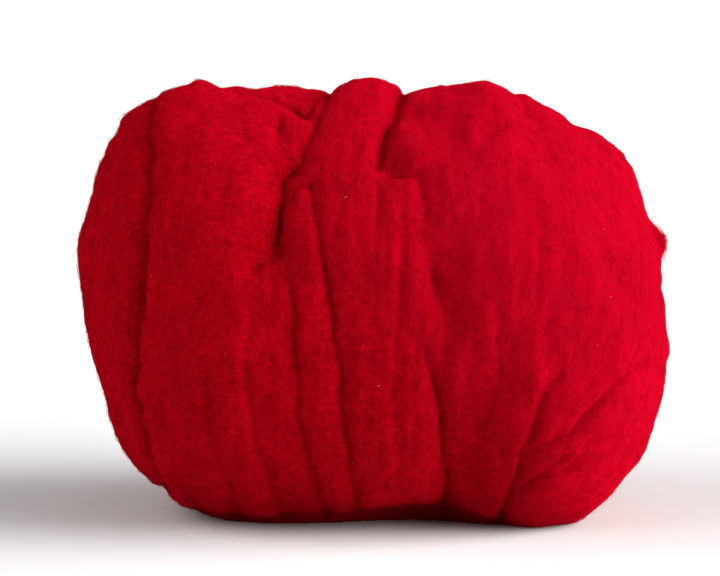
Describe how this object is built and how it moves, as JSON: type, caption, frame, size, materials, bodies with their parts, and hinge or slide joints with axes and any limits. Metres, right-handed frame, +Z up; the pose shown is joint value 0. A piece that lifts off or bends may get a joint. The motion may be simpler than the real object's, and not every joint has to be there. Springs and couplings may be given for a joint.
{
  "type": "ball of felting fibre",
  "caption": "Oval ball of carded wool sliver for felting, wound in broad soft turns round its long axis, with deep creases between turns and a flat spot to rest on.",
  "frame": {"origin": "under the middle of the ball's box, on the surface that it rests on", "axes": "+X along the axis that the sliver is wound round, to the right of the picture; +Y to the back; +Z up"},
  "size_m": [0.2516, 0.1892, 0.1835],
  "materials": {
    "dyed_wool": "matt, hairy, crimson dyed wool"
  },
  "bodies": {
    "root": {"wool_ball": "dyed_wool"}
  },
  "joints": []
}
